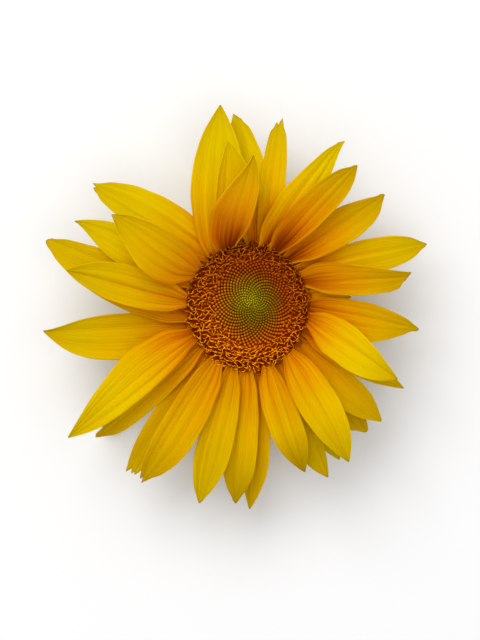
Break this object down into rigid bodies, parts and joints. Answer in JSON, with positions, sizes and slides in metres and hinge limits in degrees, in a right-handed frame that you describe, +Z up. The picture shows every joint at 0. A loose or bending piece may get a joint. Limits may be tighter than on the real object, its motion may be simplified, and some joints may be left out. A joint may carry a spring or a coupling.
{
  "type": "sunflower",
  "caption": "Cut sunflower head with layered ray petals, a seeded spiral disc, bracts and a short bent stem, lying face up.",
  "frame": {"origin": "on the surface that the flower lies on, in the middle of its plan", "axes": "+Z up, the way the flower faces; +Y to the top of the flower as pictured; +X to its right"},
  "size_m": [0.194, 0.204, 0.075],
  "materials": {
    "petal": "soft satin yellow petal tissue, orange at the claw",
    "open_floret": "matte red-brown tubes with golden stigmas",
    "bud": "matte gold to yellow-green closed buds",
    "bract": "matte hairy green leaf tissue",
    "stem": "matte hairy light green stem, pale pith at the cut"
  },
  "bodies": {
    "root": {"ray_petals": "petal", "open_florets": "open_floret", "disc_buds": "bud", "receptacle": "bract", "stem": "stem"}
  },
  "joints": []
}
